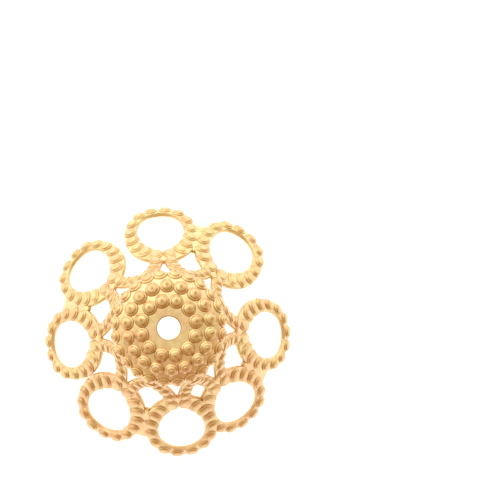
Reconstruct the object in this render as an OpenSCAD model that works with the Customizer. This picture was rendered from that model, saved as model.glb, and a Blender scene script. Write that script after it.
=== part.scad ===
// Filigree bead cap: one piece of stamped brass, mouth down on its petal tips.
// A domed crown with a thread hole, a zigzag lattice under its rim, and eight
// teardrop rings that flare out and turn down. Rows of granules cover it all.
// Units are mm, +Z is up, and the origin is the thread hole's upper rim centre.

/* [Body] */
// thickness of the brass sheet
sheet_t = 0.3; // [0.2:0.02:0.6]
// width of the lattice strands and of the petal rings
band_w = 0.82; // [0.5:0.02:1.2]
// direction of the first petal, seen from above
first_petal = 94; // [0:1:180]

/* [Crown] */
// diameter of the thread hole
bore_d = 1.36; // [1:0.02:2]
// depth of the crown's lower rim
rim_depth = 1.45; // [1:0.05:1.6]
// depth at which two strands leave the rim together
strand_depth = 1.95; // [1.4:0.05:2.4]

/* [Petals] */
// length of the hole in a petal, along the sheet
hole_l = 4.5; // [3:0.05:6]
// width of the hole in a petal
hole_w = 2.88; // [2:0.02:4]
// metal between a petal's hole and the tip of the lattice
root_w = 1.2; // [0.7:0.05:1.5]
// how pointed a petal's hole is, 0 for an ellipse
hole_tear = 0.5; // [0:0.05:1.5]
// how pointed a petal's outer edge is, 0 for an ellipse
edge_tear = 0.25; // [0:0.05:1.5]
// height of the plate that joins two neighbouring rings
joint_h = 2.8; // [0.6:0.1:3]

/* [Granules] */
// diameter of a granule on the crown
crown_grain_d = 0.8; // [0.5:0.02:0.9]
// diameter of a granule on a strand or ring
band_grain_d = 0.74; // [0.4:0.02:0.8]
// diameter of the granule where two strands meet at the rim
rim_grain_d = 0.92; // [0.6:0.02:1.1]
// how far a granule stands up from the sheet
grain_h = 0.17; // [0.1:0.01:0.3]
// granules round one petal
petal_grains = 16; // [12:2:22]
// granules on a strand between its two ends
strand_grains = 3; // [2:1:5]

/* [Hidden] */

// Outer face of the sheet from the axis to the petal tips.
// columns: radius, depth below the crown's flat top
PROFILE = [
    [0.00, 0.00],
    [1.20, 0.00],
    [1.70, 0.05],
    [2.55, 0.30],
    [3.10, 0.74],
    [3.29, 1.28],
    [3.41, 2.05],
    [3.55, 2.80],
    [3.72, 3.50],
    [4.12, 4.50],
    [4.70, 5.50],
    [5.36, 6.50],
    [6.08, 7.50],
    [6.78, 8.50],
    [7.20, 9.30],
    [7.46, 10.05]
];

// Each petal is bent a little by hand.
// columns: turn of its root, further turn of its tip, outward bend of its tip,
// and 1 where its ring is joined to the next one
TURN = 0;
SWING = 1;
FLARE = 2;
JOINED = 3;
PETALS = [
    [0.4, 0.6, 0.00, 0],
    [3.6, 1.6, 0.00, 1],
    [3.6, 1.2, 0.00, 0],
    [3.0, 2.8, 0.10, 1],
    [3.5, 0.3, 0.15, 1],
    [-6.0, -0.9, -0.10, 1],
    [-5.6, -2.5, -0.10, 0],
    [1.6, 0.9, 0.25, 1]
];
PITCH = 360 / len(PETALS);

// Rings of granules on the crown.
// columns: distance from the axis, how many, direction of the first
GRAIN_RINGS = [
    [1.63, 12, 14],
    [2.48, 18, 13],
    [3.17, 24, 9]
];

// Radii of the crown's folds: round the rings of granules, and at its shoulder.
SHEET_RINGS = [1.25, 2.05, 2.85, 3.2];

CURVE_STEPS = 8;
CROWN_SIDES = 24;
GRAIN_SIDES = 6;
BORE_SIDES = 48;
// A granule's top as a share of its diameter, and its depth in the sheet.
GRAIN_TOP = 0.5;
GRAIN_SINK = 0.08;
// Strands and joints lie this much inside both faces of the rings and crown.
INSET = 0.03;
// How far above the middle of the petals' holes two rings are joined.
JOINT_RISE = 0.35;
// How far a strand runs up behind the crown's rim.
RIM_LAP = 0.15;
// How strongly a strand bends: 1 for a straight one.
STRAND_BEND = 1.8;
// Half the step over which a direction is taken, in mm along the profile or as a
// share of a strand.
REACH = 0.05;
// Turns between which a teardrop is widest, and the step along a petal's row.
WIDEST_TURNS = [90, 130];
ROW_STEP = 5;
// Length of the bore's cutter above and below the crown's top.
BORE_REACH = 1;

// Smooth curve through the profile, as rows of length, radius and height.
function between(a, b, c, d, t) =
    0.5 * (2 * b + (c - a) * t + (2 * a - 5 * b + 4 * c - d) * t * t + (3 * b - a - 3 * c + d) * t * t * t);
function station(i) =
    let (row = PROFILE[max(0, min(len(PROFILE) - 1, i))])
    i < 0 ? [-PROFILE[1][0], -PROFILE[1][1]] : [row[0], -row[1]];
SMOOTH = [
    for (i = [0 : len(PROFILE) - 2], j = [0 : CURVE_STEPS - 1])
        between(station(i - 1), station(i), station(i + 1), station(i + 2), j / CURVE_STEPS),
    station(len(PROFILE) - 1)
];
LENGTHS = [
    for (i = 0, s = 0; i < len(SMOOTH); s = s + norm(SMOOTH[min(i + 1, len(SMOOTH) - 1)] - SMOOTH[i]), i = i + 1) s
];
RADIUS_AT = [for (i = [0 : len(SMOOTH) - 1]) [LENGTHS[i], SMOOTH[i][0]]];
HEIGHT_AT = [for (i = [0 : len(SMOOTH) - 1]) [LENGTHS[i], SMOOTH[i][1]]];
LENGTH_AT_DEPTH = [for (i = [0 : len(SMOOTH) - 1]) if (SMOOTH[i][1] < 0) [-SMOOTH[i][1], LENGTHS[i]]];
LENGTH_AT_RADIUS = [for (i = [0 : len(SMOOTH) - 1]) [SMOOTH[i][0], LENGTHS[i]]];

tip_s = LENGTHS[len(LENGTHS) - 1];
rim_s = lookup(rim_depth, LENGTH_AT_DEPTH);
strand_s = lookup(strand_depth, LENGTH_AT_DEPTH);
hole_mid = tip_s - band_w - hole_l / 2;
ring_l = hole_l + band_w + root_w;
ring_mid = tip_s - ring_l / 2;

// Unit direction along the profile, outwards and down, and the point that lies
// off the sheet's outer face at a given length from the axis.
function along(s) =
    let (
        dr = lookup(s + REACH, RADIUS_AT) - lookup(s - REACH, RADIUS_AT),
        dz = lookup(s + REACH, HEIGHT_AT) - lookup(s - REACH, HEIGHT_AT)
    )
    [dr, dz] / norm([dr, dz]);
function on_profile(s, off) =
    let (t = along(s))
    [lookup(s, RADIUS_AT) - off * t[1], lookup(s, HEIGHT_AT) + off * t[0]];
function on_cap(az, s, off) =
    let (p = on_profile(s, off))
    [p[0] * cos(az), p[0] * sin(az), p[1]];

// The same on one petal: y is the distance to the left of the petal's middle.
function root_az(k) = first_petal + PITCH * k + PETALS[k][TURN];
function petal_share(s) = max(0, (s - root_s) / (tip_s - root_s));
function petal_az(k, s, y) =
    root_az(k) + y / lookup(s, RADIUS_AT) * 180 / PI + PETALS[k][SWING] * petal_share(s);
function on_petal(k, s, y, off) =
    let (
        az = petal_az(k, s, y),
        flare = PETALS[k][FLARE] * pow(petal_share(s), 2)
    )
    on_cap(az, s, off) + flare * [cos(az), sin(az), 0];

// Teardrop with its point towards the crown, as length from the axis and y.
function bulge(t, tear) = sin(t) * pow(abs(sin(t / 2)), tear);
function widest(tear) = max([for (t = [WIDEST_TURNS[0] : WIDEST_TURNS[1]]) bulge(t, tear)]);
function teardrop(t, mid, l, w, tear) =
    [mid - l / 2 * cos(t), w / 2 * bulge(t, tear) / widest(tear)];

// Closed or open ribbon through sections of four corners each, which run round
// the section the same way in every one.
module ribbon(sections, closed) {
    n = len(sections);
    turns = closed ? n : n - 1;
    sides = [
        for (i = [0 : turns - 1], j = [0 : 3])
            let (
                near = 4 * i,
                far = 4 * ((i + 1) % n),
                next = (j + 1) % 4
            )
            each [[near + j, near + next, far + next], [near + j, far + next, far + j]]
    ];
    caps = closed ? [] : [[3, 2, 1, 0], [4 * n - 4, 4 * n - 3, 4 * n - 2, 4 * n - 1]];
    polyhedron(points = [for (s = sections) each s], faces = concat(sides, caps));
}

// Granule: a small dome, its foot sunk in the sheet.
module grain(d, place, az, s) {
    t = along(s);
    translate(place)
        rotate([0, 90 - atan2(t[0], -t[1]), az])
            translate([0, 0, -GRAIN_SINK])
                cylinder(
                    h = grain_h + GRAIN_SINK,
                    d1 = d,
                    d2 = d * GRAIN_TOP,
                    $fn = GRAIN_SIDES
                );
}

module crown_sheet() {
    rows = [for (r = SHEET_RINGS) lookup(r, LENGTH_AT_RADIUS), rim_s];
    top = [for (s = rows) on_profile(s, 0)];
    under = [for (i = [len(rows) - 1 : -1 : 0]) on_profile(rows[i], -sheet_t)];
    rotate_extrude($fn = CROWN_SIDES)
        polygon(concat([[0, 0]], top, under, [[0, -sheet_t]]));
}

module crown_grains() {
    for (ring = GRAIN_RINGS) {
        s = lookup(ring[0], LENGTH_AT_RADIUS);
        for (i = [0 : ring[1] - 1]) {
            az = ring[2] + 360 / ring[1] * i;
            grain(crown_grain_d, on_cap(az, s, 0), az, s);
        }
    }
}

// The two edges of a petal's ring and the middle line that its granules follow,
// at the same turn of the teardrop.
function hole_edge(t) = teardrop(t, hole_mid, hole_l, hole_w, hole_tear);
function ring_edge(t) = teardrop(t, ring_mid, ring_l, hole_w + 2 * band_w, edge_tear);
function row(t) = (hole_edge(t) + ring_edge(t)) / 2;

// Turn of the teardrop at each share of the way round its row of granules.
ROW = [for (t = [0 : ROW_STEP : 360]) row(t)];
ROW_LENGTHS = [for (i = 0, d = 0; i < len(ROW); d = d + norm(ROW[min(i + 1, len(ROW) - 1)] - ROW[i]), i = i + 1) d];
ROW_TURNS = [for (i = [0 : len(ROW) - 1]) [ROW_LENGTHS[i] / ROW_LENGTHS[len(ROW) - 1], ROW_STEP * i]];
function row_turn(share) = lookup(share, ROW_TURNS);

// Where a strand ends: on the first granule of a petal's row.
foot = row(row_turn(0.5 / petal_grains));
root_s = foot[0];

// Length and azimuth on one strand at share f of its run from the rim to the
// root of petal k, side is 1 or -1. It bends to lie beside its neighbour there.
function strand_at(k, side, f) =
    let (
        start = first_petal + PITCH * (k + side / 2),
        end = root_az(k) + side * foot[1] / lookup(root_s, RADIUS_AT) * 180 / PI
    )
    [strand_s + (root_s - strand_s) * f, end + (start - end) * pow(max(1 - f, 0), STRAND_BEND)];

module strand(k, side) {
    run = [
        (rim_s - RIM_LAP - strand_s) / (root_s - strand_s),
        for (i = [0.5 : 1 : strand_grains + 0.5]) i / (strand_grains + 1),
        1
    ];
    ribbon([
        for (f = run)
            let (
                p = strand_at(k, side, f),
                step = strand_at(k, side, f + REACH) - strand_at(k, side, f - REACH),
                r = lookup(p[0], RADIUS_AT),
                across = [step[1] * PI / 180 * r, step[0]],
                slant = across / norm(across),
                da = band_w / 2 * slant[1] / r * 180 / PI,
                ds = band_w / 2 * slant[0]
            )
            [
                on_cap(p[1] - da, p[0] + ds, -INSET),
                on_cap(p[1] + da, p[0] - ds, -INSET),
                on_cap(p[1] + da, p[0] - ds, INSET - sheet_t),
                on_cap(p[1] - da, p[0] + ds, INSET - sheet_t)
            ]
    ], false);
    for (i = [1 : strand_grains]) {
        p = strand_at(k, side, i / (strand_grains + 1));
        grain(band_grain_d, on_cap(p[1], p[0], 0), p[1], p[0]);
    }
}

module lattice() {
    for (k = [0 : len(PETALS) - 1]) {
        az = first_petal + PITCH * (k + 0.5);
        grain(rim_grain_d, on_cap(az, strand_s, 0), az, strand_s);
        strand(k, 1);
        strand(k, -1);
    }
}

// Ring of one petal, with a section between every two granules of its row.
module petal(k) {
    ribbon([
        for (i = [0 : petal_grains - 1])
            let (
                t = row_turn(i / petal_grains),
                outer = ring_edge(t),
                inner = hole_edge(t)
            )
            [
                on_petal(k, inner[0], inner[1], 0),
                on_petal(k, outer[0], outer[1], 0),
                on_petal(k, outer[0], outer[1], -sheet_t),
                on_petal(k, inner[0], inner[1], -sheet_t)
            ]
    ], true);
    for (i = [0 : petal_grains - 1]) {
        p = row(row_turn((i + 0.5) / petal_grains));
        grain(band_grain_d, on_petal(k, p[0], p[1], 0), petal_az(k, p[0], p[1]), p[0]);
    }
}

// Plate between two rings that are joined at their widest place.
module joint(k) {
    next = (k + 1) % len(PETALS);
    side = (hole_w + band_w) / 2;
    ribbon([
        for (f = [-1 : 0.5 : 1])
            let (
                s = hole_mid - JOINT_RISE + joint_h / 2 * f,
                a = petal_az(k, s, side),
                b = petal_az(next, s, -side)
            )
            [
                on_cap(a, s, -INSET),
                on_cap(b, s, -INSET),
                on_cap(b, s, INSET - sheet_t),
                on_cap(a, s, INSET - sheet_t)
            ]
    ], false);
}

// The sheet and its granules are joined into one mesh, which resize leaves at its
// size, and the bore is then cut through it as a true round.
module bead_cap() {
    color([0.86, 0.66, 0.33])
        difference() {
            resize([0, 0, 0])
                union() {
                    crown_sheet();
                    crown_grains();
                    lattice();
                    for (k = [0 : len(PETALS) - 1]) {
                        petal(k);
                        if (PETALS[k][JOINED] == 1)
                            joint(k);
                    }
                }
            translate([0, 0, -BORE_REACH])
                cylinder(h = 2 * BORE_REACH, d = bore_d, $fn = BORE_SIDES);
        }
}

bead_cap();
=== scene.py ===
# %% [markdown]
# # A filigree bead cap in stamped brass
# The real cap starts as a flat blank. A die cuts the openings, raises a dome wherever
# a granule goes, and leaves a dimple behind each one. A second die bends the blank
# into a bell. The lesson follows the same order: flat blanks with granules first, then
# a press that bends them, and at the end one fused body. The CAD solid stays as the
# collision shape, and the fused body stands in for it.

import bisect
import math
import random

import bmesh
import bpy
from mathutils import Matrix, Vector, noise


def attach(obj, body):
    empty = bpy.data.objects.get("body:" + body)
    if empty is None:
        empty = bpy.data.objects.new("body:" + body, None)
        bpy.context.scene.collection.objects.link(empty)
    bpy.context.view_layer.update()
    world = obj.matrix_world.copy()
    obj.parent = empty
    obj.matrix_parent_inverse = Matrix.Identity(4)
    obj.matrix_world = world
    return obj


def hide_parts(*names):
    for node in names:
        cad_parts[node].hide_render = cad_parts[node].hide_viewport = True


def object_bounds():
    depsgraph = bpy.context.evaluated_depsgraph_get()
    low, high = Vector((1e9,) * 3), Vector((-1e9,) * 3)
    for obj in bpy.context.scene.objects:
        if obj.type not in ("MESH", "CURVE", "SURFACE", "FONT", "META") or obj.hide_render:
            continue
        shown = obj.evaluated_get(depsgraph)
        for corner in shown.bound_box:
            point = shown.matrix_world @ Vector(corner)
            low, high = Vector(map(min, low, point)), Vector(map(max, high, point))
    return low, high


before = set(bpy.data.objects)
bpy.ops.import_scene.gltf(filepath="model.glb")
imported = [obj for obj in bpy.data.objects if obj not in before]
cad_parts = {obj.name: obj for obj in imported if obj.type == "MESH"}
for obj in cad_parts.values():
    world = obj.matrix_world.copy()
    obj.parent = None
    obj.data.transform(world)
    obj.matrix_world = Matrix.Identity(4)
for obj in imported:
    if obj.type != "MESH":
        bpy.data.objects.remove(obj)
cad_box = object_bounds()
print("CAD box", cad_box)

# %% [markdown]
# ## Sizes
# All sizes are in millimetres, because that is how a jeweller would note them, and the
# last step turns them into metres. The profile is the outer face of the sheet from the
# thread hole to the petal tips: a flat top, a steep shoulder, a short wall and a long
# flare.

# %% Sizes in millimetres
MM = 0.001
SHEET = 0.3
BAND = 0.82
BORE_R = 0.68
RIM_DEPTH = 1.45
STRAND_DEPTH = 1.95
RIM_LAP = 0.15
HOLE_LENGTH = 4.5
HOLE_WIDTH = 2.88
ROOT_METAL = 1.2
HOLE_TEAR = 0.5
EDGE_TEAR = 0.25
JOINT_HEIGHT = 2.8
JOINT_RISE = 0.35
FIRST_PETAL = 94.0
PETAL_GRAINS = 16
STRAND_GRAINS = 3
STRAND_BEND = 1.8

# columns: radius, depth below the crown's flat top
PROFILE = [
    (0.00, 0.00), (1.20, 0.00), (1.70, 0.05), (2.55, 0.30),
    (3.10, 0.74), (3.29, 1.28), (3.41, 2.05), (3.55, 2.80),
    (3.72, 3.50), (4.12, 4.50), (4.70, 5.50), (5.36, 6.50),
    (6.08, 7.50), (6.78, 8.50), (7.20, 9.30), (7.46, 10.05),
]

# columns: turn of the petal's root, further turn of its tip, outward bend of its tip,
# and whether its ring is joined to the next one
PETALS = [
    (0.4, 0.6, 0.00, False), (3.6, 1.6, 0.00, True),
    (3.6, 1.2, 0.00, False), (3.0, 2.8, 0.10, True),
    (3.5, 0.3, 0.15, True), (-6.0, -0.9, -0.10, True),
    (-5.6, -2.5, -0.10, False), (1.6, 0.9, 0.25, True),
]
PITCH = 360.0 / len(PETALS)

# columns: distance from the axis, how many, direction of the first
CROWN_RINGS = [(1.63, 12, 14.0), (2.48, 18, 13.0), (3.17, 24, 9.0)]
print(len(PETALS), "petals,", sum(count for r, count, first in CROWN_RINGS),
      "granules on the crown")

# %% [markdown]
# ## The press
# A press needs one rule: where does a point of the flat blank end up? A point has a
# place across the blank, a length measured along the sheet from the axis, and a height
# off the sheet's outer face. The profile is drawn smooth through its points, and a
# table of lengths turns the length along the sheet into a radius and a depth. Bending
# through such a rule keeps every granule at its true size on the curved wall, which a
# lattice or a chain of Simple Deform modifiers would not.

# %% The profile as a smooth curve
CURVE_STEPS = 16


def between(a, b, c, d, t):
    """Point on the smooth curve from b to c, with a and d as its neighbours."""
    return 0.5 * (
        2 * b + (c - a) * t
        + (2 * a - 5 * b + 4 * c - d) * t * t
        + (3 * b - a - 3 * c + d) * t ** 3
    )


def station(i):
    """Profile point i, mirrored over the axis before the first one."""
    if i < 0:
        return Vector((-PROFILE[1][0], -PROFILE[1][1]))
    radius, depth = PROFILE[min(i, len(PROFILE) - 1)]
    return Vector((radius, -depth))


curve = [
    between(station(i - 1), station(i), station(i + 1), station(i + 2), j / CURVE_STEPS)
    for i in range(len(PROFILE) - 1) for j in range(CURVE_STEPS)
] + [station(len(PROFILE) - 1)]
lengths = [0.0]
for here, there in zip(curve, curve[1:]):
    lengths.append(lengths[-1] + (there - here).length)
radii = [p.x for p in curve]
heights = [p.y for p in curve]
depths = [-h for h in heights]


def read(table, values, at):
    """Value at a place in a rising table, carried on straight past its ends."""
    i = min(max(bisect.bisect_right(table, at) - 1, 0), len(table) - 2)
    share = (at - table[i]) / (table[i + 1] - table[i])
    return values[i] + (values[i + 1] - values[i]) * share


tip_s = lengths[-1]
rim_s = read(depths, lengths, RIM_DEPTH)
strand_s = read(depths, lengths, STRAND_DEPTH)
hole_mid = tip_s - BAND - HOLE_LENGTH / 2
ring_length = HOLE_LENGTH + BAND + ROOT_METAL
ring_mid = tip_s - ring_length / 2
print(f"sheet from axis to tip {tip_s:.2f} mm, from axis to rim {rim_s:.2f} mm")

# %% [markdown]
# ## The outline of a petal
# A petal is a ring between two teardrops, and its row of granules runs midway between
# them. A table of lengths along that row spaces the granules evenly, also in the tight
# bend at the root. The first and the last granule of the row are where the two strands
# of the lattice arrive, side by side.

# %% The teardrops and the row between them
ROW_STEP = 2
WIDEST_TURNS = range(90, 131)


def bulge(turn, tear):
    t = math.radians(turn)
    return math.sin(t) * abs(math.sin(t / 2)) ** tear


def teardrop(turn, middle, length, width, tear):
    """Flat point of a teardrop that has its narrow end towards the crown."""
    widest = max(bulge(t, tear) for t in WIDEST_TURNS)
    x = width / 2 * bulge(turn, tear) / widest
    return Vector((x, middle - length / 2 * math.cos(math.radians(turn)), 0))


def hole_edge(turn):
    return teardrop(turn, hole_mid, HOLE_LENGTH, HOLE_WIDTH, HOLE_TEAR)


def ring_edge(turn):
    return teardrop(turn, ring_mid, ring_length, HOLE_WIDTH + 2 * BAND, EDGE_TEAR)


def row(turn):
    return (hole_edge(turn) + ring_edge(turn)) / 2


row_turns = list(range(0, 360 + ROW_STEP, ROW_STEP))
row_points = [row(t) for t in row_turns]
row_lengths = [0.0]
for here, there in zip(row_points, row_points[1:]):
    row_lengths.append(row_lengths[-1] + (there - here).length)


def row_turn(share):
    """Turn of the teardrop at a share of the way round its row of granules."""
    return read(row_lengths, row_turns, share * row_lengths[-1])


foot = row(row_turn(0.5 / PETAL_GRAINS))
root_s = foot.y
print(f"row of granules {row_lengths[-1]:.1f} mm round, pitch "
      f"{row_lengths[-1] / PETAL_GRAINS:.2f} mm, root at {root_s:.2f} mm")

# %% Rules that carry a flat point to its place on the cap
# half of a measuring step: in millimetres along the sheet, and as a share of a strand
REACH = 0.05
STRIDE = 0.05


def on_cap(azimuth, s, off):
    """Point off the outer face, at a length s from the axis, in millimetres."""
    along = Vector((
        read(lengths, radii, s + REACH) - read(lengths, radii, s - REACH),
        read(lengths, heights, s + REACH) - read(lengths, heights, s - REACH),
    )).normalized()
    radius = read(lengths, radii, s) - off * along.y
    height = read(lengths, heights, s) + off * along.x
    angle = math.radians(azimuth)
    return Vector((radius * math.cos(angle), radius * math.sin(angle), height))


def degrees_for(width, s):
    """Turn round the axis that a width across the sheet covers at length s."""
    return math.degrees(width / read(lengths, radii, s))


def root_azimuth(k):
    return FIRST_PETAL + PITCH * k + PETALS[k][0]


def petal_place(k):
    """Rule for petal k, which is also turned and bent out a little by hand."""
    swing, flare = PETALS[k][1], PETALS[k][2]

    def place(x, s, off):
        share = max(0.0, (s - root_s) / (tip_s - root_s))
        azimuth = root_azimuth(k) - degrees_for(x, s) + swing * share
        angle = math.radians(azimuth)
        bend = Vector((math.cos(angle), math.sin(angle), 0)) * flare * share ** 2
        return on_cap(azimuth, s, off) + bend
    return place


def strand_at(k, side, share):
    """Azimuth and length on a strand, from the rim at 0 to the petal's root at 1."""
    start = FIRST_PETAL + PITCH * (k + side / 2)
    end = root_azimuth(k) + side * degrees_for(foot.x, root_s)
    azimuth = end + (start - end) * max(1 - share, 0) ** STRAND_BEND
    return azimuth, strand_s + (root_s - strand_s) * share


def strand_step(k, side, share):
    """Flat step along a strand around a share of it: to the left and outwards."""
    azimuth_a, s_a = strand_at(k, side, share - STRIDE)
    azimuth_b, s_b = strand_at(k, side, share + STRIDE)
    radius = read(lengths, radii, (s_a + s_b) / 2)
    return Vector((math.radians(azimuth_b - azimuth_a) * radius, s_b - s_a))


def strand_length(k, side):
    shares = [STRIDE * (2 * i + 1) for i in range(round(0.5 / STRIDE))]
    return sum(strand_step(k, side, share).length for share in shares)


def strand_place(k, side):
    length = strand_length(k, side)

    def place(x, y, off):
        share = y / length
        azimuth, s = strand_at(k, side, share)
        slant = strand_step(k, side, share).normalized()
        s += x * slant.x
        return on_cap(azimuth - degrees_for(x * slant.y, s), s, off)
    return place


def spot_place(azimuth, s_middle):
    """Rule for one granule, which is drawn flat round its own middle."""
    def place(x, y, off):
        s = s_middle + y
        return on_cap(azimuth - degrees_for(x, s), s, off)
    return place


print("petal tip", [round(c, 2) for c in petal_place(0)(0, tip_s, 0)])

# %% [markdown]
# ## Bench tools
# Three small helpers do the work of a bench. One turns a drawn half section into a
# round granule with the spin operator, as a lathe would. One presses a flat blank to
# its place. One fuses or cuts two closed solids with the Manifold Boolean, which is
# quick and leaves a closed body when both inputs are closed. Each vertex also keeps its
# height off the sheet as an attribute, because the brass is worn bright on the tops, and
# its steps are painted dark brown, both as tarnish and as painted shade.

# %% Helpers for turning, pressing and fusing
RELIEF = "relief"
MERGE = 0.0005
DICE_SEED = 7
dice = random.Random(DICE_SEED)


def turned(section, sides, name):
    """Closed solid from a half section of radius and height, spun round Z."""
    bm = bmesh.new()
    chain = [bm.verts.new((r, 0, h)) for r, h in section]
    edges = [bm.edges.new(pair) for pair in zip(chain, chain[1:])]
    bmesh.ops.spin(
        bm, geom=chain + edges, cent=(0, 0, 0), axis=(0, 0, 1),
        angle=math.tau, steps=sides, use_merge=True,
    )
    bmesh.ops.remove_doubles(bm, verts=bm.verts, dist=MERGE)
    bmesh.ops.recalc_face_normals(bm, faces=bm.faces)
    mesh = bpy.data.meshes.new(name)
    bm.to_mesh(mesh)
    bm.free()
    return mesh


def add_copy(bm, mesh, place):
    """Adds a copy of a mesh, with every vertex carried by the rule."""
    first = len(bm.verts)
    bm.from_mesh(mesh)
    bm.verts.ensure_lookup_table()
    relief = bm.verts.layers.float.get(RELIEF) or bm.verts.layers.float.new(RELIEF)
    bm.verts.ensure_lookup_table()
    for v in bm.verts[first:]:
        v[relief] = v.co.z
        v.co = place(*v.co)


def solid(bm, name):
    """Ends a bmesh as an object."""
    mesh = bpy.data.meshes.new(name)
    bm.to_mesh(mesh)
    bm.free()
    thing = bpy.data.objects.new(name, mesh)
    bpy.context.scene.collection.objects.link(thing)
    return thing


def combine(body, tool, operation):
    """Fuses the tool with the body, or cuts it out, and throws the tool away."""
    step = body.modifiers.new("combine", "BOOLEAN")
    step.operation = operation
    step.solver = "MANIFOLD"
    step.object = tool
    ready = body.evaluated_get(bpy.context.evaluated_depsgraph_get())
    mesh = bpy.data.meshes.new_from_object(ready)
    body.modifiers.clear()
    body.data = mesh
    bpy.data.objects.remove(tool)
    return body


def measured(thing):
    """Volume in cubic millimetres and the number of open edges, as words."""
    bm = bmesh.new()
    bm.from_mesh(thing.data)
    volume = bm.calc_volume(signed=True)
    gaps = sum(1 for e in bm.edges if not e.is_manifold)
    faces = len(bm.faces)
    bm.free()
    return f"{faces} faces, {volume:.2f} cubic mm, {gaps} open edges"


def moved(middle, size, lift, across):
    """Rule that sets a granule down flat, with its x axis drawn out to a vector."""
    along = Vector((-across.y, across.x, 0)).normalized()

    def place(x, y, off):
        return middle + (across * x + along * y) * size + Vector((0, 0, off + lift))
    return place


# %% [markdown]
# ## Granules and dimples
# On the crown each granule is a low disc with a small step, a dome and a nipple where
# the die was drilled. On the bands the domes are lower and almost as wide as the band.
# Spinning a half section gives both with one helper. A dimple is the same idea turned
# over: a lens that is cut from the inner face. The granule of the bands and the dimple
# repeat some two hundred times, so each has only a few dozen faces.

# %% Turn the granules and the dimples
CROWN_SIDES = 16
BAND_SIDES = 12
SINK = 0.06

# columns: radius, height off the sheet
crown_granule = turned([
    (0.0, -SINK), (0.45, -SINK), (0.445, 0.0), (0.385, 0.06), (0.33, 0.08),
    (0.265, 0.165), (0.22, 0.195), (0.14, 0.215), (0.1, 0.22), (0.065, 0.262), (0.0, 0.267),
], CROWN_SIDES, "crown_granule")
band_granule = turned([
    (0.0, -SINK), (0.42, -SINK), (0.36, 0.06), (0.33, 0.068), (0.28, 0.14), (0.15, 0.182),
    (0.0, 0.19),
], BAND_SIDES, "band_granule")
rim_granule = turned([
    (0.0, -SINK * 2), (0.5, -SINK * 2), (0.49, 0.0), (0.45, 0.075), (0.41, 0.085),
    (0.36, 0.16), (0.25, 0.2), (0.1, 0.22), (0.0, 0.225),
], CROWN_SIDES, "rim_granule")
dimple = turned([
    (0.0, -SHEET - 0.1), (0.37, -SHEET - 0.1), (0.345, -SHEET), (0.26, -SHEET + 0.09),
    (0.12, -SHEET + 0.132), (0.0, -SHEET + 0.14),
], BAND_SIDES, "dimple")
for granule in (crown_granule, band_granule, rim_granule, dimple):
    print(granule.name, "has", len(granule.polygons), "faces")

# %% [markdown]
# ## The petal blank
# Two circles from the circle operator are drawn into the two teardrops, bridged, given
# the sheet's thickness and bevelled, because dies and tumbling leave a soft edge. The
# sections follow the same even spacing as the granules.

# %% Flat blanks with thickness and soft edges
EDGE_SOFT = 0.1
RIM_ANGLE = math.radians(50)
SECTIONS_PER_GRAIN = 5


def thicken(bm, top, bottom):
    """Gives a flat region its thickness and rounds the edges of both faces."""
    bmesh.ops.translate(bm, verts=bm.verts, vec=(0, 0, top))
    made = bmesh.ops.extrude_face_region(bm, geom=bm.faces[:])
    below = [g for g in made["geom"] if isinstance(g, bmesh.types.BMVert)]
    bmesh.ops.translate(bm, verts=below, vec=(0, 0, bottom - top))
    bmesh.ops.recalc_face_normals(bm, faces=bm.faces)
    sharp = [e for e in bm.edges if e.calc_face_angle(0) > RIM_ANGLE]
    bmesh.ops.bevel(
        bm, geom=sharp, offset=EDGE_SOFT, offset_type="OFFSET", segments=2, profile=0.5,
        affect="EDGES", material=-1,
    )


def ring_blank(sections):
    bm = bmesh.new()
    edges = []
    for edge in (ring_edge, hole_edge):
        made = bmesh.ops.create_circle(bm, segments=sections, radius=1.0)
        for i, v in enumerate(made["verts"]):
            v.co = edge(row_turn((i + 0.5) / sections))
        edges += [e for e in bm.edges if e.verts[0] in made["verts"]]
    bridge = bmesh.ops.bridge_loops(bm, edges=edges)
    cross = [e for e in bridge["edges"] if e.is_manifold]
    bmesh.ops.subdivide_edges(bm, edges=cross, cuts=1, use_grid_fill=True)
    thicken(bm, 0.0, -SHEET)
    return solid(bm, "ring_blank")


ring = ring_blank(PETAL_GRAINS * SECTIONS_PER_GRAIN)
print("ring blank:", measured(ring))

# %% [markdown]
# ## Eight petals
# Each petal gets its own granules, drawn out across the band and set down with a little
# play, because worn dies and tumbling never leave two alike. Granules are fused and
# dimples are cut while the blank is flat: plain flat faces meet there, so the Boolean
# gives clean rims. Only then does the press bend the petal to its place.

# %% Granules on a flat blank, and the press
# play of a granule: place and lift in millimetres, size as a share, turn in degrees
PLAY = 0.015
SIZE_PLAY = 0.04
LIFT_PLAY = 0.01
TURN_PLAY = 0.6


def loose(value, play):
    return value + dice.uniform(-play, play)


def stamp(blank, spots, sunk=0.0):
    """Raises a granule and cuts a dimple at each spot of a flat blank."""
    domes, hollows = bmesh.new(), bmesh.new()
    for middle, across in spots:
        middle = Vector((loose(middle.x, PLAY), loose(middle.y, PLAY), 0))
        size = loose(1.0, SIZE_PLAY)
        drawn = across / BAND
        lift = loose(-sunk, LIFT_PLAY)
        add_copy(domes, band_granule, moved(middle, size, lift, drawn))
        add_copy(hollows, dimple, moved(middle, size, sunk, drawn.normalized()))
    combine(blank, solid(domes, "domes"), "UNION")
    combine(blank, solid(hollows, "hollows"), "DIFFERENCE")
    return blank


def press(blank, place, into):
    """Bends a flat blank to its place and adds it to the bmesh."""
    bm = bmesh.new()
    bm.from_mesh(blank.data)
    many = [f for f in bm.faces if len(f.verts) > 4]
    bmesh.ops.triangulate(bm, faces=many)
    mesh = bpy.data.meshes.new("pressed")
    bm.to_mesh(mesh)
    bm.free()
    add_copy(into, mesh, place)
    bpy.data.objects.remove(blank)


def copy_of(thing):
    twin = bpy.data.objects.new(thing.name, thing.data.copy())
    bpy.context.scene.collection.objects.link(twin)
    return twin


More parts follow.
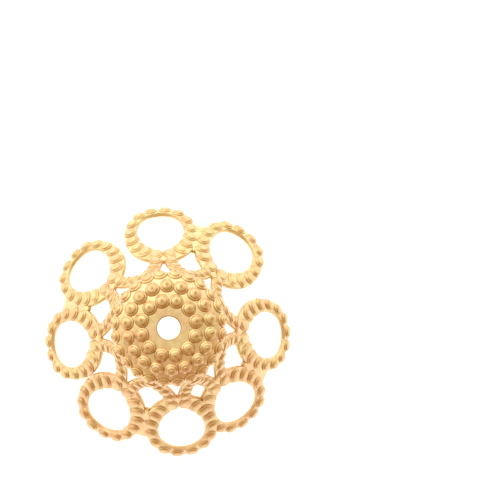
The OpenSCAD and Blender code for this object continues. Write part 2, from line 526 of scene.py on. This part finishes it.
# %% Stamp and press the petals
row_spots = []
for i in range(PETAL_GRAINS):
    turn = row_turn((i + 0.5) / PETAL_GRAINS)
    row_spots.append((row(turn), ring_edge(turn) - hole_edge(turn)))
widths = [across.length for middle, across in row_spots]
print(f"band {min(widths):.2f} to {max(widths):.2f} mm wide at the granules")
even, odd = bmesh.new(), bmesh.new()
for k in range(len(PETALS)):
    petal = stamp(copy_of(ring), row_spots)
    press(petal, petal_place(k), odd if k % 2 else even)
bpy.data.objects.remove(ring)
petals_even, petals_odd = solid(even, "petals_even"), solid(odd, "petals_odd")
print("even petals:", measured(petals_even))
print("odd petals:", measured(petals_odd))

# %% [markdown]
# ## The lattice
# Sixteen strands run from the crown's rim to the roots of the petals, two from every
# larger granule, and bend until two neighbours lie side by side. A strand is a grid
# strip, stamped and pressed like a petal. It lies a hair inside both faces of the sheet,
# so that no two faces coincide when the parts are fused.

# %% Stamp and press the strands
HAIR = 0.012
STRAND_STEPS = 18


def strand_blank(length):
    bm = bmesh.new()
    bmesh.ops.create_grid(bm, x_segments=2, y_segments=STRAND_STEPS, size=0.5)
    first = length * (rim_s - RIM_LAP - strand_s) / (root_s - strand_s)
    bmesh.ops.scale(bm, verts=bm.verts, vec=(BAND, length - first, 1))
    bmesh.ops.translate(bm, verts=bm.verts, vec=(0, (first + length) / 2, 0))
    thicken(bm, -HAIR, HAIR - SHEET)
    return solid(bm, "strand_blank")


left, right = bmesh.new(), bmesh.new()
for k in range(len(PETALS)):
    for side, into in ((1, left), (-1, right)):
        run = strand_length(k, side)
        pitch = run / (STRAND_GRAINS + 1)
        middles = [Vector((0, pitch * i, 0)) for i in range(1, STRAND_GRAINS + 1)]
        spots = [(middle, Vector((BAND, 0, 0))) for middle in middles]
        press(stamp(strand_blank(run), spots, HAIR), strand_place(k, side), into)
strands_left, strands_right = solid(left, "strands_left"), solid(right, "strands_right")
print("strands to the left:", measured(strands_left))
print("strands to the right:", measured(strands_right))

# %% [markdown]
# ## The crown
# The crown is a lathe job: the cut section of the sheet, closed round, is spun about
# the axis. The thread hole comes from where the section stops, so its wall is a true
# cylinder with a small chamfer on each side.

# %% Spin the crown and set its granules
CROWN_STEPS = 96
CROWN_ROWS = 16
BORE_SOFT = 0.05


def crown_sheet():
    bm = bmesh.new()
    first, last = BORE_R + BORE_SOFT, rim_s - EDGE_SOFT
    runs = [first + (last - first) * i / CROWN_ROWS for i in range(CROWN_ROWS + 1)]
    section = [(BORE_R, -SHEET + BORE_SOFT), (BORE_R, -BORE_SOFT)]
    section += [(s, 0.0) for s in runs]
    section += [(rim_s, -EDGE_SOFT), (rim_s, EDGE_SOFT - SHEET)]
    section += [(s, -SHEET) for s in reversed(runs)]
    relief = bm.verts.layers.float.new(RELIEF)
    points = [bm.verts.new(on_cap(0, s, off)) for s, off in section]
    for v, (s, off) in zip(points, section):
        v[relief] = off
    edges = [bm.edges.new(pair) for pair in zip(points, points[1:] + points[:1])]
    bmesh.ops.spin(
        bm, geom=points + edges, cent=(0, 0, 0), axis=(0, 0, 1),
        angle=math.tau, steps=CROWN_STEPS, use_merge=True,
    )
    bmesh.ops.remove_doubles(bm, verts=bm.verts, dist=MERGE)
    bmesh.ops.recalc_face_normals(bm, faces=bm.faces)
    return solid(bm, "crown")


crown = crown_sheet()
domes, hollows = bmesh.new(), bmesh.new()
for radius, count, first in CROWN_RINGS:
    s = read(radii, lengths, radius)
    for i in range(count):
        azimuth = loose(first + 360 / count * i, TURN_PLAY)
        place = spot_place(azimuth, loose(s, PLAY))
        add_copy(domes, crown_granule, place)
        add_copy(hollows, dimple, place)
combine(crown, solid(domes, "crown_domes"), "UNION")
combine(crown, solid(hollows, "crown_hollows"), "DIFFERENCE")
print("crown:", measured(crown))

# %% [markdown]
# ## Joints and rim granules
# Five pairs of rings touch at their widest place and are joined there by a small flat
# web. The larger granules sit where two strands leave the rim together.

# %% Webs between the joined rings
JOINT_ROWS = 6
reach = (HOLE_WIDTH + BAND) / 2
joints = bmesh.new()
for k in range(len(PETALS)):
    if not PETALS[k][3]:
        continue
    here, there = petal_place(k), petal_place((k + 1) % len(PETALS))

    def web_place(x, y, off):
        return there(reach, y, off).lerp(here(-reach, y, off), x)

    web = bmesh.new()
    bmesh.ops.create_grid(web, x_segments=2, y_segments=JOINT_ROWS, size=0.5)
    bmesh.ops.scale(web, verts=web.verts, vec=(1, JOINT_HEIGHT, 1))
    middle = (0.5, hole_mid - JOINT_RISE, 0)
    bmesh.ops.translate(web, verts=web.verts, vec=middle)
    thicken(web, -HAIR, HAIR - SHEET)
    press(solid(web, "web"), web_place, joints)
webs = solid(joints, "webs")
print("webs:", measured(webs))

# %% Larger granules at the rim
large, large_hollows = bmesh.new(), bmesh.new()
for k in range(len(PETALS)):
    place = spot_place(loose(FIRST_PETAL + PITCH * (k + 0.5), TURN_PLAY), strand_s)
    add_copy(large, rim_granule, place)
    add_copy(large_hollows, dimple, place)
print(len(PETALS), "larger granules at", round(strand_s, 2), "mm along the sheet")

# %% [markdown]
# ## One body
# A stamped cap is one piece of metal, so all parts are fused into one closed mesh. A
# slow, seeded noise then moves the whole surface by about a hundredth of a millimetre,
# because a stamped sheet is never quite true. Faces are shaded smooth up to a fixed
# angle, past which an edge stays crisp.

# %% Fuse, wobble and turn millimetres into metres
WOBBLE = 0.012
WOBBLE_PITCH = 1.7
WOBBLE_SEED = 5
CREASE = math.radians(32)

bead_cap = crown
for part in (strands_left, strands_right, petals_even, petals_odd, webs):
    combine(bead_cap, part, "UNION")
    print("body so far:", measured(bead_cap))
combine(bead_cap, solid(large, "rim_domes"), "UNION")
combine(bead_cap, solid(large_hollows, "rim_hollows"), "DIFFERENCE")

bm = bmesh.new()
bm.from_mesh(bead_cap.data)
bmesh.ops.triangulate(bm, faces=bm.faces)
bmesh.ops.dissolve_degenerate(bm, edges=bm.edges, dist=MERGE)
noise.seed_set(WOBBLE_SEED)
for v in bm.verts:
    v.co += noise.noise_vector(v.co / WOBBLE_PITCH) * WOBBLE
bmesh.ops.scale(bm, verts=bm.verts, vec=(MM, MM, MM))
for face in bm.faces:
    face.smooth = True
for edge in bm.edges:
    edge.smooth = edge.calc_face_angle(0) < CREASE
loose_edges = sum(1 for e in bm.edges if not e.is_manifold)
print("bead cap", len(bm.faces), "faces, open edges", loose_edges,
      "volume", round(bm.calc_volume() * 1e9, 1), "cubic mm")
bead_cap.name = "bead_cap_skin"
mesh = bpy.data.meshes.new("bead_cap_skin")
bm.to_mesh(mesh)
bm.free()
bead_cap.data = mesh

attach(bead_cap, "root")
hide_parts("bead_cap")

# %% [markdown]
# ## Satin brass
# Raw brass shows no colour of its own apart from what it reflects: it is a metal with a
# warm tint, so a fully metallic Principled shader does it, and a thin lacquer coat adds
# a pale sheen. A broad noise shifts the tint between pinkish and greenish gold, as
# handling does. The tint also leans from one to the other across the cap, paler and
# greener at the upper petals and deeper and pinker at the lower ones; this leaning is
# painted light, in step with how the tent lights the cap. Tumbling rubs the open sheet,
# its cut walls and the tops of the granules bright. A dark brown stays in the steps round
# the granules, both tarnish and painted shade in those recesses. The tip of the nipple
# and the thread hole are dark brown too, and a finer noise adds faint darker spots of
# tarnish. The petals are lighter than the crown: fingers have worn off some tarnish
# there, and the painted shade is weaker too. The height kept at each vertex says where
# the steps are.

# %% The brass material
COAT, COAT_ROUGHNESS = 1.0, 0.3
TINT_SCALE, TINT_DETAIL = 650.0, 3.0
# painted light: reach in millimetres along Y from the middle, and how far the tint is
# pushed towards the paler gold at +Y and the deeper gold at -Y
PAINTED_LIGHT_REACH, PAINTED_LIGHT_LEAN = 8.0, 0.16
# columns: place between low and high noise, colour of the metal
TINTS = [(0.36, (0.96, 0.675, 0.38)), (0.64, (0.92, 0.79, 0.39))]

brass = bpy.data.materials.new("satin_brass")
brass.use_nodes = True
nodes, links = brass.node_tree.nodes, brass.node_tree.links
nodes.clear()


def node(kind, at, **settings):
    made = nodes.new(kind)
    made.location = at
    for key, value in settings.items():
        setattr(made, key, value)
    return made


def map_range(at, source, low, high, to_low=0.0, to_high=1.0):
    """Map Range node that carries a source socket from one range to another."""
    made = node("ShaderNodeMapRange", at)
    for name, value in zip(("From Min", "From Max", "To Min", "To Max"),
                           (low, high, to_low, to_high)):
        made.inputs[name].default_value = value
    links.new(source, made.inputs["Value"])
    return made.outputs["Result"]


def math_of(at, operation, first, second):
    """Socket of a Math node that joins two sockets."""
    made = node("ShaderNodeMath", at, operation=operation)
    links.new(first, made.inputs[0])
    links.new(second, made.inputs[1])
    return made.outputs["Value"]


def noise_of(at, scale, detail):
    """Socket of a noise that lies still on the object."""
    made = node("ShaderNodeTexNoise", at)
    made.inputs["Scale"].default_value = scale
    made.inputs["Detail"].default_value = detail
    links.new(coords.outputs["Object"], made.inputs["Vector"])
    return made.outputs["Fac"]


def set_stops(ramp, rows):
    """Gives a colour ramp its stops, from rows of a place and a colour."""
    stops = ramp.color_ramp.elements
    stops.remove(stops[1])
    for i, (at, shade) in enumerate(rows):
        stop = stops[0] if i == 0 else stops.new(at)
        stop.position = at
        stop.color = (*shade, 1)


out = node("ShaderNodeOutputMaterial", (900, 0))
shader = node("ShaderNodeBsdfPrincipled", (600, 0))
shader.inputs["Metallic"].default_value = 1.0
shader.inputs["IOR"].default_value = 1.5
shader.inputs["Coat Weight"].default_value = COAT
shader.inputs["Coat Roughness"].default_value = COAT_ROUGHNESS
links.new(shader.outputs["BSDF"], out.inputs["Surface"])

coords = node("ShaderNodeTexCoord", (-1700, 0))
place_of = node("ShaderNodeSeparateXYZ", (-1400, 550))
links.new(coords.outputs["Object"], place_of.inputs["Vector"])
# Painted light: the tint is pushed towards the paler gold on the upper petals and the
# deeper gold on the lower ones, as the tent lights them
painted_light_lean = map_range(
    (-1200, 550), place_of.outputs["Y"], -PAINTED_LIGHT_REACH * MM, PAINTED_LIGHT_REACH * MM,
    -PAINTED_LIGHT_LEAN, PAINTED_LIGHT_LEAN,
)
tint_noise = noise_of((-1400, 300), TINT_SCALE, TINT_DETAIL)
tint = node("ShaderNodeValToRGB", (-1000, 300))
set_stops(tint, TINTS)
links.new(math_of((-1150, 300), "ADD", tint_noise, painted_light_lean), tint.inputs["Fac"])
print("brass tints", TINTS)

# %% Tarnish and painted shade in the steps of the granules, and a dark thread hole
# painted shade and tarnish: the dark brown of the steps round the granules, also used at
# the nipple's tip, in the thread hole and for small spots
TARNISH_AND_SHADE = (0.56, 0.28, 0.05, 1)
LOWEST, HIGHEST = -0.05, 0.35
# in millimetres, outwards from the wall of the thread hole and then from the axis
HOLE_FROM, HOLE_TO = 0.01, 0.07
# on the petals the dark brown is held weaker, both the tarnish and the painted shade
PETALS_LIGHTER_FROM, PETALS_LIGHTER_TO, PETALS_LIGHTER_SHARE = 3.4, 4.4, 0.38
SPOT_SCALE, SPOT_DETAIL = 2200.0, 2.0
SPOT_FROM, SPOT_TO, SPOT_SHARE = 0.38, 0.58, 0.75
# columns: height off the sheet in millimetres, share of bright brass there; a low share
# paints tarnish and painted shade in dark brown
CLEAN_AND_UNSHADED = [
    (-0.05, 0.85), (-0.012, 0.9), (0.0, 0.9), (0.005, 0.0), (0.05, 0.1), (0.061, 0.8),
    (0.081, 0.8), (0.09, 0.0), (0.13, 0.15), (0.165, 0.7), (0.19, 0.75), (0.205, 0.55),
    (0.235, 0.6), (0.265, 0.0),
]
# Painted shade: the steps round each granule, picked out by their height, are painted dark
# brown together with their tarnish
relief_value = node("ShaderNodeAttribute", (-1700, 0), attribute_name=RELIEF)
relief_share = map_range((-1400, 0), relief_value.outputs["Fac"], LOWEST, HIGHEST)
clean_and_unshaded = node("ShaderNodeValToRGB", (-1000, 0))
set_stops(clean_and_unshaded, [
    ((height - LOWEST) / (HIGHEST - LOWEST), (share, share, share))
    for height, share in CLEAN_AND_UNSHADED
])
links.new(relief_share, clean_and_unshaded.inputs["Fac"])

flat = node("ShaderNodeVectorMath", (-1400, -150), operation="MULTIPLY")
flat.inputs[1].default_value = (1, 1, 0)
links.new(coords.outputs["Object"], flat.inputs[0])
distance = node("ShaderNodeVectorMath", (-1200, -150), operation="LENGTH")
links.new(flat.outputs["Vector"], distance.inputs[0])
from_axis = distance.outputs["Value"]
open_metal = map_range(
    (-1000, -250), from_axis, (BORE_R + HOLE_FROM) * MM, (BORE_R + HOLE_TO) * MM,
)
petals_lighter = map_range(
    (-1000, -600), from_axis, PETALS_LIGHTER_FROM * MM, PETALS_LIGHTER_TO * MM, 0.0, PETALS_LIGHTER_SHARE,
)
spot_noise = noise_of((-1400, -500), SPOT_SCALE, SPOT_DETAIL)
spot_free = map_range((-1000, -400), spot_noise, SPOT_FROM, SPOT_TO, SPOT_SHARE, 1.0)

petal_unshaded_clean = math_of((-900, 0), "MAXIMUM", clean_and_unshaded.outputs["Color"], petals_lighter)
open_unshaded_clean = math_of((-750, 0), "MULTIPLY", petal_unshaded_clean, open_metal)
unshaded_clean_share = math_of((-600, 0), "MULTIPLY", open_unshaded_clean, spot_free)
# Painted shade and tarnish: where the share is low, the brass colour is mixed towards the
# dark brown
colour = node("ShaderNodeMix", (-300, 200), data_type="RGBA", blend_type="MIX")
colour.inputs["A"].default_value = TARNISH_AND_SHADE
links.new(unshaded_clean_share, colour.inputs["Factor"])
links.new(tint.outputs["Color"], colour.inputs["B"])
links.new(colour.outputs["Result"], shader.inputs["Base Color"])
print("share of clean metal at each height", CLEAN_AND_UNSHADED)

# %% Satin roughness and fine grit
DULL_SCALE, DULL_DETAIL = 2600.0, 4.0
DULL_FROM, DULL_TO = 0.36, 0.52
GRIT_SCALE, GRIT_DETAIL = 9000.0, 3.0
GRIT_STRENGTH, GRIT_DEPTH = 0.5, 0.01

dull_noise = noise_of((-1000, -500), DULL_SCALE, DULL_DETAIL)
dull = map_range((-700, -500), dull_noise, 0.0, 1.0, DULL_FROM, DULL_TO)
links.new(dull, shader.inputs["Roughness"])

grit = noise_of((-1000, -800), GRIT_SCALE, GRIT_DETAIL)
bump = node("ShaderNodeBump", (200, -700))
bump.inputs["Strength"].default_value = GRIT_STRENGTH
bump.inputs["Distance"].default_value = GRIT_DEPTH * MM
links.new(grit, bump.inputs["Height"])
links.new(bump.outputs["Normal"], shader.inputs["Normal"])
bead_cap.data.materials.append(brass)
print("brass is made of", len(nodes), "nodes")

# %% [markdown]
# ## Camera
# The cap is photographed straight from above with a long lens, and it lies left of and
# below the middle of the picture. The lens follows from two facts: how many pixels a
# millimetre takes at the crown, and how fast the depth makes things smaller. The eye is
# not quite on the axis, which shows as a small shift of the petal tips.

# %% Camera above the thread hole
PICTURE = 500
PIXELS_PER_MM = 17.2
EYE_HEIGHT = 203.5
HOLE_PIXEL = (168.9, 328.2)
EYE_SHIFT = (-0.65, -3.0)
SENSOR = 36.0

camera_data = bpy.data.cameras.new("camera")
camera_data.sensor_width = SENSOR
camera_data.lens = SENSOR * EYE_HEIGHT * PIXELS_PER_MM / PICTURE
camera_data.clip_start = 0.01
camera = bpy.data.objects.new("camera", camera_data)
bpy.context.scene.collection.objects.link(camera)
aim = Vector((
    (PICTURE / 2 - HOLE_PIXEL[0]) / PIXELS_PER_MM,
    (HOLE_PIXEL[1] - PICTURE / 2) / PIXELS_PER_MM, 0,
)) * MM
camera.location = Vector((*EYE_SHIFT, EYE_HEIGHT)) * MM
forward = (aim - camera.location).normalized()
rightward = forward.cross(Vector((0, 1, 0))).normalized()
upward = rightward.cross(forward)
camera.rotation_euler = Matrix((rightward, upward, -forward)).transposed().to_euler()
bpy.context.scene.camera = camera
print("lens", round(camera_data.lens, 1), "mm, aimed at", [round(c, 5) for c in aim])

# %% [markdown]
# ## Light table
# The cap stands on a lit white table in a tent, so it has hardly any shadow. Metal
# shows what surrounds it: white from behind, a warm grey from overhead, where the camera
# hangs, and a darker brown from the viewer's end of the table, which gives the lower
# petals their deeper gold. A small softbox at the upper left adds highlights.

# %% Floor
TABLE_SIZE = 1.0
TABLE_GREY = 0.6
TABLE_GLOW = 0.75

floor_mesh = bpy.data.meshes.new("floor")
bm = bmesh.new()
bmesh.ops.create_grid(bm, x_segments=1, y_segments=1, size=TABLE_SIZE)
bmesh.ops.translate(bm, verts=bm.verts, vec=(0, 0, cad_box[0][2]))
bm.to_mesh(floor_mesh)
bm.free()
floor = bpy.data.objects.new("floor", floor_mesh)
bpy.context.scene.collection.objects.link(floor)
paper = bpy.data.materials.new("light_table")
paper.use_nodes = True
paper_shader = paper.node_tree.nodes["Principled BSDF"]
paper_shader.inputs["Base Color"].default_value = (TABLE_GREY, TABLE_GREY, TABLE_GREY, 1)
paper_shader.inputs["Roughness"].default_value = 0.9
paper_shader.inputs["Emission Color"].default_value = (1, 1, 1, 1)
paper_shader.inputs["Emission Strength"].default_value = TABLE_GLOW
floor_mesh.materials.append(paper)
print(f"table {cad_box[0][2] / MM:.2f} mm from the crown's top")

# %% Tent light
DARK_SIDE = (0.3, -0.95, 0.0)
TENT_STRENGTH = 1.64
# columns: place from the bright side at 0 to the dark side at 1, colour
TENT = [
    (0.15, (1.0, 1.0, 1.0)), (0.35, (0.8, 0.77, 0.7)), (0.5, (0.39, 0.345, 0.28)),
    (0.66, (0.47, 0.385, 0.28)), (0.84, (0.46, 0.32, 0.18)), (1.0, (0.2, 0.09, 0.03)),
]

world = bpy.data.worlds.new("tent")
world.use_nodes = True
bpy.context.scene.world = world
sky = world.node_tree.nodes
wires = world.node_tree.links
background = sky["Background"]
direction = sky.new("ShaderNodeTexCoord")
dark_side = sky.new("ShaderNodeVectorMath")
dark_side.operation = "DOT_PRODUCT"
dark_side.inputs[1].default_value = DARK_SIDE
wires.new(direction.outputs["Generated"], dark_side.inputs[0])
to_share = sky.new("ShaderNodeMapRange")
to_share.inputs["From Min"].default_value = -1.0
to_share.inputs["From Max"].default_value = 1.0
wires.new(dark_side.outputs["Value"], to_share.inputs["Value"])
tent = sky.new("ShaderNodeValToRGB")
set_stops(tent, TENT)
wires.new(to_share.outputs["Result"], tent.inputs["Fac"])
wires.new(tent.outputs["Color"], background.inputs["Color"])
background.inputs["Strength"].default_value = TENT_STRENGTH
print("tent shades from bright to dark", TENT)

# %% Softbox from the upper left
SOFTBOX_AT = Vector((-0.12, 0.16, 0.18))
SOFTBOX_SIZE = 0.12
SOFTBOX_WATTS = 0.05

box_data = bpy.data.lights.new("softbox", "AREA")
box_data.shape = "SQUARE"
box_data.size = SOFTBOX_SIZE
box_data.energy = SOFTBOX_WATTS
softbox = bpy.data.objects.new("softbox", box_data)
bpy.context.scene.collection.objects.link(softbox)
softbox.location = SOFTBOX_AT
softbox.rotation_euler = (-SOFTBOX_AT).to_track_quat("-Z", "Y").to_euler()
print(f"softbox {SOFTBOX_AT.length:.2f} m away")

bpy.context.scene.view_settings.view_transform = "Standard"
